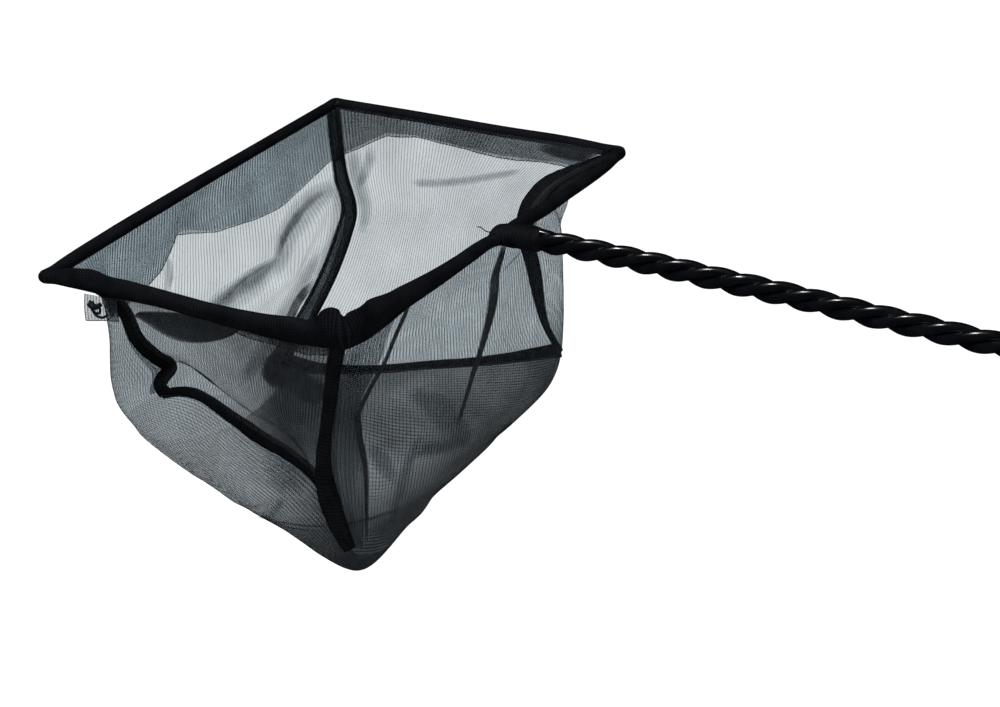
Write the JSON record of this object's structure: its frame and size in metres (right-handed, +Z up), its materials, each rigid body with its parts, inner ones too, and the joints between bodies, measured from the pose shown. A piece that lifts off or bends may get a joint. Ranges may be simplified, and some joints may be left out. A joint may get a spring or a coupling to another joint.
{
  "type": "aquarium fish net",
  "caption": "Hand-held aquarium fish net: a hanging bag of fine black knitted mesh on a rectangular coated-wire frame, with a twisted-wire handle ending in a hang loop.",
  "frame": {"origin": "inside the twisted handle, 0.8 mm under its axis, in the middle of the hand's grip, 180 mm from the rim's handle side", "axes": "+X runs along the handle from the bag to the hang loop, +Z points up, square to the level rim, and the bag hangs towards -Z"},
  "size_m": [0.3567, 0.1315, 0.0723],
  "materials": {
    "black_pvc": "glossy black plastic coating on wire",
    "steel_core": "drawn galvanised steel",
    "ferrule_metal": "crimped aluminium",
    "bag_mesh": "fine black knitted nylon mesh, open holes",
    "hem_mesh": "several layers of black mesh folded round the wire",
    "seam_mesh": "folded black mesh seam allowance",
    "sewing_thread": "twisted black polyester thread"
  },
  "bodies": {
    "net_frame": {"frame_core_left": "steel_core", "frame_core_right": "steel_core", "frame_jacket_left": "black_pvc", "frame_jacket_right": "black_pvc", "butt_ferrule": "ferrule_metal", "handle_strand_1": "black_pvc", "handle_strand_2": "black_pvc", "handle_strand_3": "black_pvc", "handle_core_1": "steel_core", "handle_core_2": "steel_core", "handle_core_3": "steel_core", "hang_loop": "black_pvc", "loop_core": "steel_core", "hem_tip": "hem_mesh", "hem_left": "hem_mesh", "hem_right": "hem_mesh", "hem_handle_left": "hem_mesh", "hem_handle_right": "hem_mesh", "wall_handle": "bag_mesh", "wall_tip": "bag_mesh", "panel_left": "bag_mesh", "panel_right": "bag_mesh", "seam_left_handle": "seam_mesh", "seam_left_tip": "seam_mesh", "seam_right_handle": "seam_mesh", "seam_right_tip": "seam_mesh", "hem_thread": "sewing_thread", "corner_seam_thread": "sewing_thread", "throat_tack": "sewing_thread"},
    "bag_bottom": {"bag_floor": "bag_mesh", "seam_left_bottom": "seam_mesh", "seam_right_bottom": "seam_mesh", "bottom_seam_thread": "sewing_thread"},
    "loose_tab": {"hem_tab": "bag_mesh", "tab_knot": "sewing_thread"}
  },
  "joints": [
    {"name": "bag_lift", "type": "slide", "parent": "net_frame", "child": "bag_bottom", "axis": [0, 0, 1], "range_m": [0, 0.036]},
    {"name": "tab_flap", "type": "hinge", "parent": "net_frame", "child": "loose_tab", "pos_m": [-0.25681, -0.06175, 0.00504], "axis": [-1, 0, 0], "range_deg": [-5, 100]}
  ]
}
